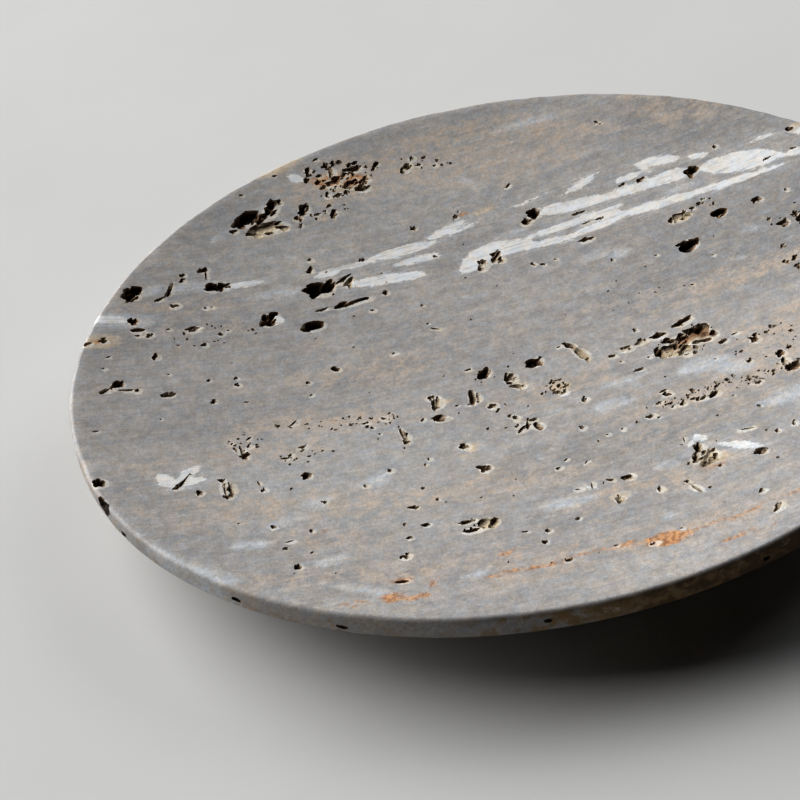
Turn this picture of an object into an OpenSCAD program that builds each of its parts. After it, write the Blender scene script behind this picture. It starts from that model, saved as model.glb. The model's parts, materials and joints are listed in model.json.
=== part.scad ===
// Shallow round dish turned from travertine, standing on four self-adhesive bumpers.
// Origin: bottom centre, on the surface that the dish stands on. +Z up, millimetres.

/* [Dish] */
// Diameter over the rim
dish_d = 180; // [160:1:210]
// Height from the surface that it stands on to the top of the rim
dish_h = 17; // [16:0.5:22]
// Depth of the bowl at its centre, measured from the top of the rim
bowl_depth = 9; // [6:0.5:10]
// Height of the upright band around the edge
edge_h = 4.4; // [3.5:0.1:6]

/* [Underside] */
// Diameter of the flat that the bumpers are stuck to
base_d = 100; // [96:1:120]
// Radius of the curve that sweeps from the flat out to the edge
belly_r = 130; // [100:5:300]

/* [Rounding] */
// Radius of the rounding on top of the rim
rim_r = 0.9; // [0.5:0.1:1.5]
// Radius of the rounding under the upright band
edge_low_r = 1; // [0.5:0.1:1.8]
// Radius of the rounding around the flat underneath
base_round_r = 2.5; // [1:0.5:4]

/* [Bumpers] */
// Diameter of one bumper
bumper_d = 10; // [8:0.5:12]
// Thickness of one bumper, without its adhesive
bumper_h = 1.8; // [1.5:0.1:2.5]
// Radius of the rounding on the bumper's lower edge
bumper_round_r = 0.8; // [0.3:0.1:1.2]
// Distance of the bumpers from the dish's axis
bumper_ring_r = 40; // [30:1:42]
// Thickness of the adhesive on a bumper
adhesive_t = 0.2; // [0.1:0.05:0.4]
// Diameter of the adhesive on a bumper
adhesive_d = 9.4; // [7:0.1:9.8]

/* [Hidden] */
$fn = 96;

// Direction of each bumper from the axis, in degrees from +X
front_right = -45;
back_right = 45;
back_left = 135;
front_left = -135;

dish_r = dish_d / 2;
base_z = bumper_h + adhesive_t;

// The rim's round touches the upright wall and the bowl, so the bowl's radius follows from it
rim_c = [dish_r - rim_r, dish_h - rim_r];
bowl_r = (pow(rim_c.x, 2) + pow(bowl_depth - rim_r, 2) - pow(rim_r, 2)) / (2 * bowl_depth);
bowl_c = [0, dish_h - bowl_depth + bowl_r];

// The belly touches the small rounds at both of its ends from outside
edge_low_c = [dish_r - edge_low_r, dish_h - edge_h + edge_low_r];
base_round_c = [base_d / 2, base_z + base_round_r];
belly_c = meet(base_round_c, belly_r - base_round_r, edge_low_c, belly_r - edge_low_r);

// Steps in a small round and in a long sweep
round_steps = 8;
sweep_steps = 24;

// Direction from point p to point q, in degrees
function heading(p, q) = atan2(q.y - p.y, q.x - p.x);

// Points on an arc around c; skip = 1 leaves out the first, which the arc before it ends on
function arc(c, r, from, to, steps, skip = 0) = [
    for (i = [skip:steps])
        let (a = from + (to - from) * i / steps)
        c + r * [cos(a), sin(a)]
];

// Point at distance rp from p and rq from q, on the left of the way from p to q
function meet(p, rp, q, rq) =
    let (
        way = q - p,
        gap = norm(way),
        along = (rp * rp - rq * rq + gap * gap) / (2 * gap),
        aside = sqrt(rp * rp - along * along)
    )
    p + (along * way + aside * [-way.y, way.x]) / gap;

// Half of the dish's section, from the middle of the flat round the edge to the bowl's centre
dish_section = concat(
    [[0, base_z]],
    arc(base_round_c, base_round_r, -90, heading(belly_c, base_round_c), round_steps),
    arc(belly_c, belly_r, heading(belly_c, base_round_c), heading(belly_c, edge_low_c), sweep_steps, 1),
    arc(edge_low_c, edge_low_r, heading(belly_c, edge_low_c), 0, round_steps, 1),
    arc(rim_c, rim_r, 0, heading(rim_c, bowl_c), round_steps),
    arc(bowl_c, bowl_r, heading(bowl_c, rim_c), -90, sweep_steps, 1)
);

// Half of a bumper's section, flat underneath with a rounded lower edge
bumper_section = concat(
    [[0, 0]],
    arc([bumper_d / 2 - bumper_round_r, bumper_round_r], bumper_round_r, -90, 0, round_steps),
    [[bumper_d / 2, bumper_h], [0, bumper_h]]
);

// Places its children on the bumper ring, in the given direction
module on_ring(direction) {
    rotate([0, 0, direction])
        translate([bumper_ring_r, 0, 0])
            children();
}

// The turned stone, in one piece
module stone_dish() {
    color([0.58, 0.57, 0.56])
        rotate_extrude()
            polygon(dish_section);
}

// A soft disc that keeps the stone off the surface and stops it from sliding
module bumper(direction) {
    color([0.75, 0.76, 0.76])
        on_ring(direction)
            rotate_extrude()
                polygon(bumper_section);
}

// The bumper's adhesive, between the soft disc and the stone
module adhesive(direction) {
    color([0.9, 0.88, 0.8])
        on_ring(direction)
            translate([0, 0, bumper_h])
                cylinder(d = adhesive_d, h = adhesive_t);
}

stone_dish();
bumper(front_right);  // bumper_front_right
bumper(back_right);  // bumper_back_right
bumper(back_left);  // bumper_back_left
bumper(front_left);  // bumper_front_left
adhesive(front_right);  // adhesive_front_right
adhesive(back_right);  // adhesive_back_right
adhesive(back_left);  // adhesive_back_left
adhesive(front_left);  // adhesive_front_left
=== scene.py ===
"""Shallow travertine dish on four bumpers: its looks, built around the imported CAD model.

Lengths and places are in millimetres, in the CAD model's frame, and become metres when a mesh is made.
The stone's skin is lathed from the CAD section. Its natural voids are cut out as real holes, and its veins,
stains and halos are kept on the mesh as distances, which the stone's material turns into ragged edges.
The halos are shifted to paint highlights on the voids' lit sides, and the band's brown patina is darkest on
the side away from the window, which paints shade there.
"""
import json
import math

import bmesh
import bpy
import numpy as np
from mathutils import Matrix, Vector

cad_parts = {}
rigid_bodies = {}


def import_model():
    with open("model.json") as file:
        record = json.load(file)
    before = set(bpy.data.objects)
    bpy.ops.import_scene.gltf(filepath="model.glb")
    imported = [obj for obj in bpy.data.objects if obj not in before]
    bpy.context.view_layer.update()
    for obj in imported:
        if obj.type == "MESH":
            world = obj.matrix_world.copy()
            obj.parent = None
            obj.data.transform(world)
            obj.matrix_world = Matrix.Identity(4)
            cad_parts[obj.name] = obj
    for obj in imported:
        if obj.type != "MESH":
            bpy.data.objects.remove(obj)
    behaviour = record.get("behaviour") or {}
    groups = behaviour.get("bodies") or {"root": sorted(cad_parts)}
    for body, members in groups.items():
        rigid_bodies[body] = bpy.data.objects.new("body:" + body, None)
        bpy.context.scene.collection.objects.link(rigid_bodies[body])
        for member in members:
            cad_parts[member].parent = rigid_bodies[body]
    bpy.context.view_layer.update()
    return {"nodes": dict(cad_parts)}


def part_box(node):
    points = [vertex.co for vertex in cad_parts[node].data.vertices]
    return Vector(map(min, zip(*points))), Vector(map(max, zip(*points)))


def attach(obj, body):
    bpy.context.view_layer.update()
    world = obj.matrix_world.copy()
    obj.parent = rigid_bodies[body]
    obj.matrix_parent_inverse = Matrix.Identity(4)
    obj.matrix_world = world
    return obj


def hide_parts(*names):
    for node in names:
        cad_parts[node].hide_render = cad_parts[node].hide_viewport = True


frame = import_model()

MM = 0.001
SEED = 18

# The stone's section, as in the CAD model
STONE_LOW, STONE_HIGH = (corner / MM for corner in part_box("stone_dish"))
RIM_R = STONE_HIGH.x
RIM_Z = STONE_HIGH.z
BASE_Z = STONE_LOW.z
BOWL_DEPTH = 9.0
EDGE_H = 4.4
RIM_ROUND = 0.9
EDGE_LOW_ROUND = 1.0
BASE_ROUND = 2.5
BASE_R = 50.0
BELLY_R = 130.0

# Voids in the bowl are longer from front to back than listed, by factors for narrow and for wide ones
NARROW_WIDTH = 2.2
NARROW_STRETCH = 1.35
WIDE_STRETCH = 1.1

# How far a void runs towards the front right for each millimetre up, along X, Y and Z
VOID_LEAN = (0.6, -0.6, 0.0)

# Depth of a void in the bowl, as a share of its width, with what is added to it, and at the most
DEPTH_SHARE = 0.6
DEPTH_ADDED = 0.18
MOST_DEPTH = 2.4

# How far a void's lump stands out of the bowl, as a share of its half height
LUMP_RISE = 0.42

# A lump's surface swells in and out by this share for each of its waves
LUMP_SWELL = 0.09
LUMP_WAVES = 8

# Lumps with a half size over these are made from finer spheres
MIDDLING_LUMP = 0.55
LARGE_LUMP = 1.5

# Number of voids in the underside, and how far from the axis they reach
UNDER_VOIDS = 95
UNDER_REACH = 86.0

# How far the veins' and voids' marks lean towards the front for each millimetre under the bowl
MARK_LEAN = 0.45

# How far the layers run back for each millimetre down
LAYER_LEAN = 0.45

# How far a void's pale halo is shifted away from the window, along X and Y, which paints a highlight on the
# void's lit side
HALO_HIGHLIGHT_SHIFT = (0.24, -0.34)

# How far apart the skin's points are, and the angle in degrees from which its edges stay sharp
TOP_SPACING = 1.8
EDGE_SPACING = 1.4
UNDER_SPACING = 2.8
SHARP_ANGLE = 38

# The skin is finely divided as far as this outside a mark
FINE_REACH = 0.5

# How far the rim's edges are worn in at the most
WEAR = 0.22

# The band's patina, with painted shade: where it is brownest and darkest, in degrees from +X, on the side
# away from the window, and the radii at which it starts and is full
PATINA_AND_SHADE_HEADING = -20.0
PATINA_AND_SHADE_START_R = 76.0
PATINA_AND_SHADE_FULL_R = 88.0

# Camera, aimed at a point on the plane of the rim
CAMERA_AIM = (-24.7, -20.9)
CAMERA_DISTANCE = 428.0
CAMERA_ELEVATION = 35.4
CAMERA_ROLL = -11.7
CAMERA_LENS = 100.0
CAMERA_SENSOR = 36.0

FLOOR_SIZE = 8.0

# Natural voids in the bowl: x, y, length, width, turn from +X in degrees
BOWL_VOIDS = [
    # Left of the middle, from the back to the front
    (-76.2, 38.6, 4.4, 3.6, 40), (-70.6, 36.2, 3, 0.9, 18), (-68.4, 38.8, 3.8, 1.2, 68),
    (-65.4, 44, 1.2, 0.9, 0), (-65.6, 42.2, 1.6, 1.1, 60), (-60.8, 45.4, 2.2, 1.3, 15),
    (-60.4, 43.2, 2.6, 0.6, 95), (-59.6, 38.6, 2.8, 2.6, 0), (-57.2, 38.8, 3.2, 2.2, 10),
    (-67.6, 33.4, 1.9, 1.1, -10), (-61.4, 31.8, 0.6, 0.6, 0), (-59.9, 31.9, 0.5, 0.5, 0),
    (-76.4, 28.8, 2.1, 1.8, 0), (-75.6, 25.6, 3, 0.9, 2), (-75.8, 23.6, 1.4, 0.5, 0),
    (-73.4, 23.6, 1.6, 1.1, 25), (-69.4, 25.2, 1, 0.5, 0), (-64.2, 24.6, 3.2, 1.3, 5),
    (-48.2, 25.4, 4.4, 3, 62), (-58.6, 22, 1, 0.8, 0), (-57, 23, 0.6, 0.5, 0), (-62.4, 18.8, 1.1, 1, 0),
    (-72.4, 15.8, 1.7, 1.2, 100), (-86.2, 21.8, 1.8, 1.2, 0), (-82.8, 22.6, 2, 1.3, 0),
    (-82, 16.6, 1.2, 0.4, 10), (-83, 12.7, 0.8, 0.4, 0), (-80.3, 6.6, 2.4, 1.8, 20),
    (-82.4, 5, 2.8, 0.9, 22), (-78, 4.6, 3.4, 0.5, -5), (-76.4, 4.3, 0.9, 0.8, 0), (-70.4, 2, 2.8, 1.5, 5),
    (-69.9, 9.3, 0.5, 0.4, 0), (-62.1, 5.9, 0.8, 0.6, 0), (-56.4, 5.8, 1, 0.8, 0), (-56.5, 3.4, 1.2, 1, 0),
    (-61.4, -1.7, 1.4, 1.1, 30), (-54.9, -3, 1.2, 0.4, 0), (-72, -6.4, 0.6, 0.5, 0),
    (-84.6, -9.3, 1.4, 0.4, 5), (-57.8, -19.7, 1.7, 0.5, 110), (-56.2, -22, 1.6, 1.4, 60),
    (-58.6, -17.2, 0.9, 0.5, 50), (-55.3, -16, 1.4, 0.5, 35), (-55.5, -18.8, 0.8, 0.5, 0),
    (-48.6, -24.2, 1.6, 0.7, 10), (-47.6, -23.2, 1, 0.7, 60), (-45, -20.9, 1.8, 0.6, 10),
    (-45.2, -22.4, 0.8, 0.5, 0), (-45.1, -31.2, 2, 1.5, 40), (-46.2, -12.2, 2.4, 0.5, 40),
    # Front left
    (-83.9, -27.4, 2.3, 1.9, 20), (-65.3, -33.3, 1.3, 1.2, 0), (-61, -29.7, 1.1, 1, 0),
    (-60.7, -32.4, 4.2, 1, -80), (-60, -35.6, 2.4, 1, -20), (-54.1, -31.8, 1.6, 0.5, -65),
    (-53.4, -34.4, 1, 0.8, 90), (-69.4, -30.6, 2, 1, 35), (-68, -28.5, 5, 0.8, 48),
    (-48.5, -62, 1.4, 1.2, 0), (-52.2, -47.6, 1, 0.8, 0), (-49.5, -53, 1.8, 0.4, 10),
    # Back left
    (-24.6, 74.6, 4, 1.8, 0), (-35, 76.4, 1.8, 1.4, 70), (-32.6, 80, 1.6, 0.7, 20),
    (-29.6, 74.6, 2.8, 1.2, 80), (-28.6, 72.4, 2, 1.2, 0), (-23.3, 67.3, 3.2, 1.7, 0),
    (-24.8, 70.6, 1.6, 1, 0), (-19.2, 75.2, 1.5, 1.2, 20), (-11, 75, 1.2, 0.9, 60),
    (-9.8, 72.3, 1.2, 0.7, 0), (-6.2, 71, 0.8, 0.6, 0), (-13.4, 72, 2.2, 0.6, 60),
    (-29.1, 66.5, 2.4, 1, 10), (-31.4, 66.9, 2, 1, 80), (-32.4, 74, 1.4, 0.7, 10), (-31.5, 72.2, 1, 0.6, 0),
    (-42.4, 76, 0.9, 0.7, 0), (-50.4, 70.5, 1, 0.6, 0), (-50.4, 61.4, 5.6, 3.8, 35),
    (-47, 61.4, 3.4, 2.4, 5), (-44.6, 64.2, 5.4, 2.6, 75), (-42.8, 66.4, 1.8, 1.4, 0),
    (-53.2, 58, 1.8, 1, 10), (-37.2, 62.8, 3.6, 2.2, 70), (-38.9, 60.2, 1.6, 1, 0),
    (-38.4, 57.4, 1.6, 0.8, 70), (-34.4, 60.5, 1.7, 0.7, 15), (-30.9, 60, 2.6, 1.5, 70),
    (-32.6, 61.4, 0.8, 0.6, 0), (-26.6, 42.1, 1.3, 1.1, 0), (-38.2, 41, 1.9, 1.3, 60),
    (-37.8, 44.9, 0.9, 0.7, 0), (-36.4, 33.8, 4.9, 4.6, 5), (-32, 35.9, 4.4, 1.2, 28),
    (-30, 27.6, 8.6, 1.1, 11), (-33, 27.1, 2.6, 1.3, 20), (-36.8, 26.5, 2.6, 0.8, 12),
    (-39.4, 21, 5, 2.9, 3), (-23, 29.2, 1.3, 1.1, 0), (-26.6, 23.8, 1.2, 0.5, -20),
    (-16, 22.6, 0.8, 0.6, 0), (-14.2, 50.2, 1.6, 1, -25), (-10.9, 39, 0.9, 0.7, 0),
    (-23, 36.3, 0.6, 0.4, 0), (-14.5, 13.6, 2.4, 0.5, -20), (-15.8, 15.8, 0.8, 0.5, 0),
    (-24, 7.4, 1.2, 0.4, 30),
    # Middle
    (-36.2, 4.7, 1.9, 1.3, -25), (-42.2, 1.4, 1, 0.8, 0), (-42, -3.2, 1, 0.4, 20),
    (-28.6, -14.9, 1.5, 0.6, -25), (-32.4, -15.7, 1.1, 0.5, 0), (-31, -17.6, 0.8, 0.7, 0),
    (-29.9, -20.2, 0.6, 0.5, 0), (-25.6, -21.5, 5, 0.8, -80), (-25.2, -24.2, 1.4, 1.1, 0),
    (-21.2, -17.6, 0.7, 0.7, 0), (-29.3, -33.3, 0.9, 0.7, 0), (-21.6, -31.6, 0.8, 0.5, 60),
    (-22.4, -33.2, 0.8, 0.5, 60), (-34.4, -37.3, 0.9, 0.6, 90), (-42.3, -41, 1, 0.7, 0),
    (-10.2, -2.9, 1.6, 0.6, 5), (-6.9, -5.2, 3, 2.2, 70), (-2.3, -8.9, 2.8, 2, 80),
    (-2.7, -6.8, 0.7, 0.5, 0), (3.4, -4.8, 3.8, 2.6, 50), (8.8, -1.5, 1.2, 0.4, 20),
    (11, -1.8, 2.6, 1.4, -35), (12.6, -5.6, 4, 1, -62), (18.5, -9, 1.5, 0.9, 0), (19.7, -11.6, 0.6, 0.4, 0),
    (22.4, -15.8, 2.3, 0.7, 5), (-18.6, -10.4, 1.8, 1, 20), (-18.2, -13.4, 3.4, 1.2, 85),
    (-17.6, -18.2, 3.2, 1.4, -8), (-10.6, -12.6, 3.4, 1.3, 85), (-11.4, -15, 1.8, 0.5, 15),
    (-13.9, -14.7, 0.8, 0.5, 0), (-4.3, -22, 1.3, 0.8, -20), (-3.3, -22.8, 1.2, 0.9, -50),
    (-3.5, -25.7, 1, 0.8, 30), (-2.8, -27.2, 2.8, 0.7, 38), (-1.3, -25.6, 2.6, 1.1, 70),
    (-0.2, -24.6, 1.8, 0.8, 0), (0.3, -27.2, 2.2, 1.2, -60), (-14.5, -29.2, 1.7, 1.3, 15),
    (-11.6, -37.9, 2.2, 1.5, -20), (-12, -38.7, 1.2, 1, 60), (10.5, -21.6, 1.4, 1, 80),
    (8.2, -31, 1.1, 0.8, 90), (15.5, -34.5, 0.9, 0.5, 40), (12.5, -35.3, 0.6, 0.4, 0),
    # Front
    (-45.3, -50.4, 0.8, 0.8, 0), (-26.3, -47.3, 2.1, 0.9, -5), (-24.7, -53.8, 1.8, 1, 10),
    (-28, -57.4, 1.4, 0.6, 5), (-29.4, -63.4, 2, 1.2, 18), (-30.4, -71.6, 3, 0.8, 0),
    (-21.6, -45.9, 0.9, 0.6, 90), (-17.2, -55.1, 3.6, 0.8, 5), (-16.8, -58.3, 3.2, 1.1, -3),
    (-14.8, -56, 1.6, 0.8, 40), (10.2, -50.7, 1.3, 0.9, -20), (3.5, -40.6, 1, 0.5, 35),
    (1.6, -43, 0.9, 0.7, 0), (6.9, -43, 1, 0.4, 40), (6.6, -51, 1.8, 0.5, 80), (3.9, -51.5, 1.4, 0.5, 0),
    (2.2, -61.3, 0.8, 0.7, 0), (-7.4, -62.1, 1.3, 0.5, 0), (-3.5, -63.2, 1, 0.8, 0),
    (-4.6, -66.8, 1, 0.9, 0), (-1.6, -74.3, 1.8, 0.8, 5), (18, -57.6, 1.6, 0.7, 80),
    (23.2, -57.4, 0.8, 0.8, 0), (24, -60, 3, 0.6, -60), (34.6, -66.5, 1.3, 0.7, 30),
    (35.9, -73.2, 2.6, 0.8, 45), (18.9, -72, 0.7, 0.4, 0), (25.6, -43, 1.2, 0.5, 80),
    (13.4, -74.8, 1.4, 0.6, 20), (7.1, -72.8, 1.2, 0.4, 12), (27.6, -47.2, 2.4, 1.5, 75),
    (26.3, -50.2, 3, 1.2, 62), (29.9, -54.8, 0.9, 0.7, 0), (37.8, -53.6, 2.3, 1.4, 20),
    (36.8, -45, 3.6, 0.4, -8), (41.1, -38.6, 0.7, 0.6, 0), (45.4, -47.5, 1.6, 0.6, 70),
    (42, -48.5, 0.9, 0.7, 90),
    # Right
    (34, -3.3, 3.8, 1.3, 18), (28.4, -5.8, 3.2, 1.4, 5), (36.6, -7.6, 4, 2.2, 28), (32.6, -9.8, 3.6, 2, 30),
    (27.7, -11.8, 3, 1.8, 75), (30.2, -8.8, 2.2, 1.6, 0), (24.6, -1.9, 1, 0.8, 0),
    (25.2, -12.3, 0.8, 0.5, 0), (32.3, -14.8, 1.4, 0.4, 0), (40.1, -13.7, 1.9, 0.9, 25),
    (42.6, -12.3, 1.6, 0.4, 15), (45.7, -16.1, 1.7, 1.5, 40), (49, -23.6, 1.8, 1.5, 0),
    (49.2, -26.4, 2, 1.1, 85), (50.4, -28.9, 2.6, 2.2, 20), (53.5, -27.5, 1.6, 0.8, 15),
    (43.2, -22.9, 0.9, 0.7, 0), (37.2, -18.9, 0.7, 0.4, 0), (25.8, -26.6, 1.8, 1, 0),
    (25.4, -25.1, 2, 0.5, 12), (23.6, -28.8, 1.8, 0.5, 15), (27.8, -31, 1.5, 0.8, 15),
    (26, -31.2, 1.2, 0.5, 20), (30.4, -30.4, 1, 0.6, 0), (32, -31, 1.8, 0.6, 15),
    (34.4, -30.6, 2.4, 1.3, 25), (37.4, -32.9, 0.8, 0.4, 0), (42.8, -30.8, 1.3, 0.7, 20),
    (41.2, -30.4, 0.6, 0.5, 0), (21.4, -32.5, 1.5, 0.9, 5), (22.8, -33.6, 0.8, 0.5, 0),
    # Back right
    (-4.6, 51.3, 1.6, 1, 40), (-3.6, 53.2, 0.9, 0.5, 90), (8.4, 58.4, 2, 0.6, 35), (-2, 31.4, 1.3, 0.9, 0),
    (-1.2, 33.8, 1.4, 0.8, 20), (1.4, 35.8, 1.5, 0.9, 0), (2.6, 33.2, 1.6, 1, 70),
    (10.2, 44.5, 2.6, 1.4, 25), (12.2, 46.9, 2.9, 2.6, 40), (21.4, 43.2, 3.2, 0.7, 10),
    (25.7, 39.5, 1.9, 0.7, 5), (22.2, 39.2, 2.2, 0.4, 8), (21.4, 33.4, 2.9, 1.2, 6),
    (8.9, 29.3, 1.3, 0.6, -50), (10.9, 28.5, 1.2, 0.6, -20), (13.9, 29.2, 0.6, 0.4, 0),
    (36.9, 49, 2.2, 1, 25), (32.6, 49, 1.8, 0.7, 20), (47.8, 47.3, 2.6, 2.2, 10),
    (47.2, 45.8, 1.5, 1.4, 80), (70.8, 50.2, 1.5, 1.4, 0), (54.4, 52.7, 1.2, 0.7, 90),
    (63.8, 43, 1.8, 0.8, 20), (69.7, 43.5, 1.4, 0.6, 0), (41.2, 22.2, 3.9, 3.6, 12),
    (49.8, 29.9, 3.2, 2.2, 10), (58.4, 30.4, 1.9, 1.4, 15), (61.1, 19.8, 2.3, 1.8, -30),
    (39.9, 32.3, 1.1, 1, 0), (42.8, 33.3, 1.9, 0.9, 75), (45, 34.3, 1.3, 0.8, -20),
    (47.7, 36.3, 0.9, 0.6, 0), (34.2, 21.7, 0.6, 0.5, 0), (45.1, 16.3, 0.7, 0.4, 0),
    (25.2, 24, 0.8, 0.7, 0), (38.8, 8.3, 0.8, 0.4, 0), (64.6, 30.6, 0.7, 0.6, 0),
]

# Voids in the upright band and over the rim: direction from the axis, depth under the rim, length, height
EDGE_VOIDS = [
    (-158, 0.9, 4.6, 3.2), (-153, 3, 1.6, 1), (-132, 2.4, 2.2, 1), (-118, 2.8, 2, 0.9), (-95, 2, 1.4, 0.8),
    (-70, 2.6, 1.8, 0.8), (-52, 1.8, 1.2, 0.9), (-20, 2.4, 2.6, 1.4), (5, 1.6, 1.2, 0.9),
    (28, 2.2, 3.4, 1.3), (66, 2.8, 1.5, 1), (104, 2, 2.4, 1), (118, 0.9, 2.2, 1), (150, 2.6, 1.8, 0.9),
    (172, 2.2, 1.3, 0.8),
]

# Fields of small pores: centre x, y, length, width, turn, number, largest pore
PORE_FIELDS = [
    (-28, 71.5, 18, 13, 8, 60, 1.3), (-33, 61, 12, 5, 8, 12, 0.9), (-8, 73, 14, 5, -15, 10, 0.8),
    (38, -28.5, 34, 4.5, 3, 80, 0.8), (33, -10, 14, 11, 15, 26, 1), (6, -15, 5, 5, 0, 30, 0.7),
    (48, -18, 14, 12, 10, 24, 1.1), (-37, -14, 26, 6, -8, 34, 0.7), (-56, -17, 7, 6, 0, 12, 0.6),
    (-45, -24, 14, 6, 5, 14, 0.6), (46, 34, 9, 4, 12, 8, 0.8), (20, 12, 40, 12, 8, 6, 0.5),
    (-62, 22, 22, 8, 0, 16, 0.6), (4, 20, 130, 60, 8, 24, 0.5), (0, -45, 120, 60, 5, 46, 0.7),
    (70, 5, 26, 50, 10, 46, 1.6), (62, -45, 30, 26, 10, 30, 1.5), (72, 22, 16, 16, 10, 10, 2.2),
]

# White calcite veins in the bowl: from x, y to x, y, width at the middle
VEINS = [
    # Left, from the rim inwards
    (-88.5, 31, -76, 29.2, 2.6), (-58.5, 38.3, -47.5, 39.4, 2.2), (-37.6, 38.2, -31, 40.2, 2.6),
    (-34, 39.8, -22.5, 41.6, 1.7), (-25.5, 41.8, -10, 44.2, 3.7), (-21, 38.3, -9, 39.7, 2.3),
    (-31.8, 34, -14, 33.8, 3.4), (-21, 33.9, -13.6, 33.6, 3.4), (-12, 45.6, -2, 49.8, 2.6),
    (-9.5, 44.4, 3, 49.6, 1), (5, 49.2, 17, 53.2, 0.9),
    # The two long strands behind the middle, from their head to the right
    (-6.5, 31.4, 2, 39, 5.6), (-3, 37.6, 11, 37, 5.2), (4, 35.8, 22, 35.7, 2.5),
    (17, 35.5, 32.5, 38.9, 2.5), (26, 38.9, 50, 39.2, 2.9), (42, 39.2, 67, 39.3, 2.3),
    (8, 38.6, 32.5, 42.6, 2.5), (24, 40.4, 31.5, 39.4, 3),
    # The band behind them, and its branches
    (12, 46.3, 32, 46.4, 3.6), (14, 46.4, 19, 48.4, 2.6), (25, 46.3, 50, 47.5, 3.6),
    (38, 47.2, 48, 47.4, 4.6), (49, 47.2, 67.5, 42.8, 7), (67, 41.8, 73.5, 42.4, 2.4),
    (71, 48.2, 76, 48.8, 2.2), (61.5, 50.2, 68, 50.8, 1.2), (19.5, 50.8, 28.5, 55.4, 2.2),
    (31.2, 50.4, 37.6, 51.8, 2.2), (36, 54.8, 47, 52.8, 3.4), (37.4, 54.8, 39.4, 50.8, 2),
    (48, 52.2, 53, 50.8, 2),
    # Single patches
    (-73, -25.4, -70, -30.6, 3.4), (-72, -29.6, -63.5, -28.2, 3), (-69, -27.6, -64.6, -23.6, 2.4),
    (31, -47.2, 38.6, -52.4, 2.4), (27.6, -42, 29.4, -46, 1.6), (25, -46, 28, -44, 1.2),
    (-39.6, 75.8, -36, 72.8, 2.6), (6.4, -18.6, 8, -17.6, 1.6), (-47.6, 22.8, -47, 26.6, 4.4),
    (5, -50.6, 7.6, -52.8, 0.9),
]

# Pale bluish patches, as the veins
BLUE_PATCHES = [
    (-88.5, 31, -70, 28.2, 5), (-75, 37.2, -69.5, 41.6, 3), (-69.5, 39.2, -57, 40.4, 3),
    (-53, 33.8, -38, 34.4, 2.9), (-61, -52.4, -52, -53.2, 3), (-54, -47.6, -45, -44.2, 2.6),
    (-36, -37, -29, -35, 4), (-48, -41.4, -40, -39.8, 2.4), (-46, -62, -39, -61, 3), (28, -20, 40, -19, 5),
    (-70, -56, -58, -66, 3.4), (10, -26, 20, -25, 3), (40, -38, 56, -40, 3.4), (25, 24.8, 29.5, 26.8, 3.6),
    (19, 27.5, 25, 27, 2.6), (14, -19, 24, -17.5, 2.2), (36, -22, 44, -25, 5), (44, -36, 52, -36.4, 2),
    (18, -50, 24, -50.4, 2.2), (-46, -42, -42, -42.6, 1.8), (-6, -54.5, 8, -55.5, 3.2),
    (-80, -46, -66, -60, 3), (48, 13, 52, 12, 1.4), (52, 21.5, 57, 20.5, 1.6), (-45, -68, -30, -77, 2),
    (-60, 54, -40, 70, 1.6), (8, 79, 26, 79, 2.4), (-2, 66, 2, 60, 2), (39, 42.6, 49, 42.6, 2.6),
    (2, 41, 10, 42, 2.4), (9.4, -56, 13.4, -57.6, 2.6), (15.4, -67.2, 19.4, -67.8, 2),
    (-20.6, -74.6, -14.4, -71, 1.8),
]

# Cream crusts around voids: x, y, length, width, turn
CREAM = [
    (-83.2, 22.4, 8.5, 5.2, 2), (1.6, 51.8, 6, 2.4, 10), (10.8, -56.8, 4, 3, 0), (-46, 57, 9, 5, 10),
    (-27.5, 70.5, 14, 6, -8), (-13, 71.8, 5, 3, 0), (-41, 79, 12, 4.5, 33), (32, -12, 9, 4, 15),
    (29.5, -51.5, 5.5, 4.5, -30), (6.8, -15.6, 4, 4.5, 0), (7.2, -18, 1.6, 1.4, 0),
    (-1, -11.6, 3.4, 1.6, -35), (-13.2, -30, 2.6, 3.6, 20), (-15.2, -32.6, 1.8, 1.8, 0),
    (-13.6, -57, 3.4, 3, 0), (12.6, -5, 4.5, 1.8, -60), (21.5, -7.6, 3, 1.6, 10), (-7.2, -17, 1.4, 2, 0),
    (41.5, 32.2, 5, 3, 15), (38, 82, 2.6, 2, 0), (-78, -29.6, 1.8, 1.8, 0), (-30, 35, 4, 2.6, 40),
    (-33.5, 58.8, 2.6, 1.6, 0), (30.8, 70, 1.8, 1.6, 0), (-16.6, -12.4, 1.8, 3.6, 80),
    (2.6, -57, 1.6, 1.6, 0), (73, 50, 4, 3, 0),
]

# Rust: x, y, length, width, turn
RUST = [
    (-3, 52, 2.4, 1.4, 20), (15.8, -74.4, 7.5, 4.6, -4), (21.6, -73.8, 4, 0.9, 15), (27, -72.7, 7, 1.2, 8),
    (9, -73.2, 6, 1.3, 0), (1, -73.4, 6, 0.9, 5), (-6, -74.4, 6, 1.2, 4), (-13, -74.6, 7, 1.6, 6),
    (-33, -76.6, 4, 3.6, 0), (-28.2, -77.4, 4.4, 2.2, 6), (-30.2, -71.6, 3.4, 1.6, 0),
    (-25.4, -73.4, 2.2, 1.6, 0), (-40, -76.8, 5, 1.6, 4), (-43.5, -82.4, 3, 3, 0), (-12, -68.2, 3, 1.6, 40),
    (-76.4, 28.8, 2.2, 1.8, 0), (-84.4, 22.2, 5, 1.2, 5), (-28, 71.6, 13, 4.4, -8), (-38.6, 60, 2, 1.4, 0),
    (33.8, -9, 7, 1.4, 28), (-42.5, -51, 2, 0.6, 5), (36, -70.5, 8, 0.8, 12), (28, -79, 9, 0.8, 10),
    (29, -54.6, 3, 1, 0),
]

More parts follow.
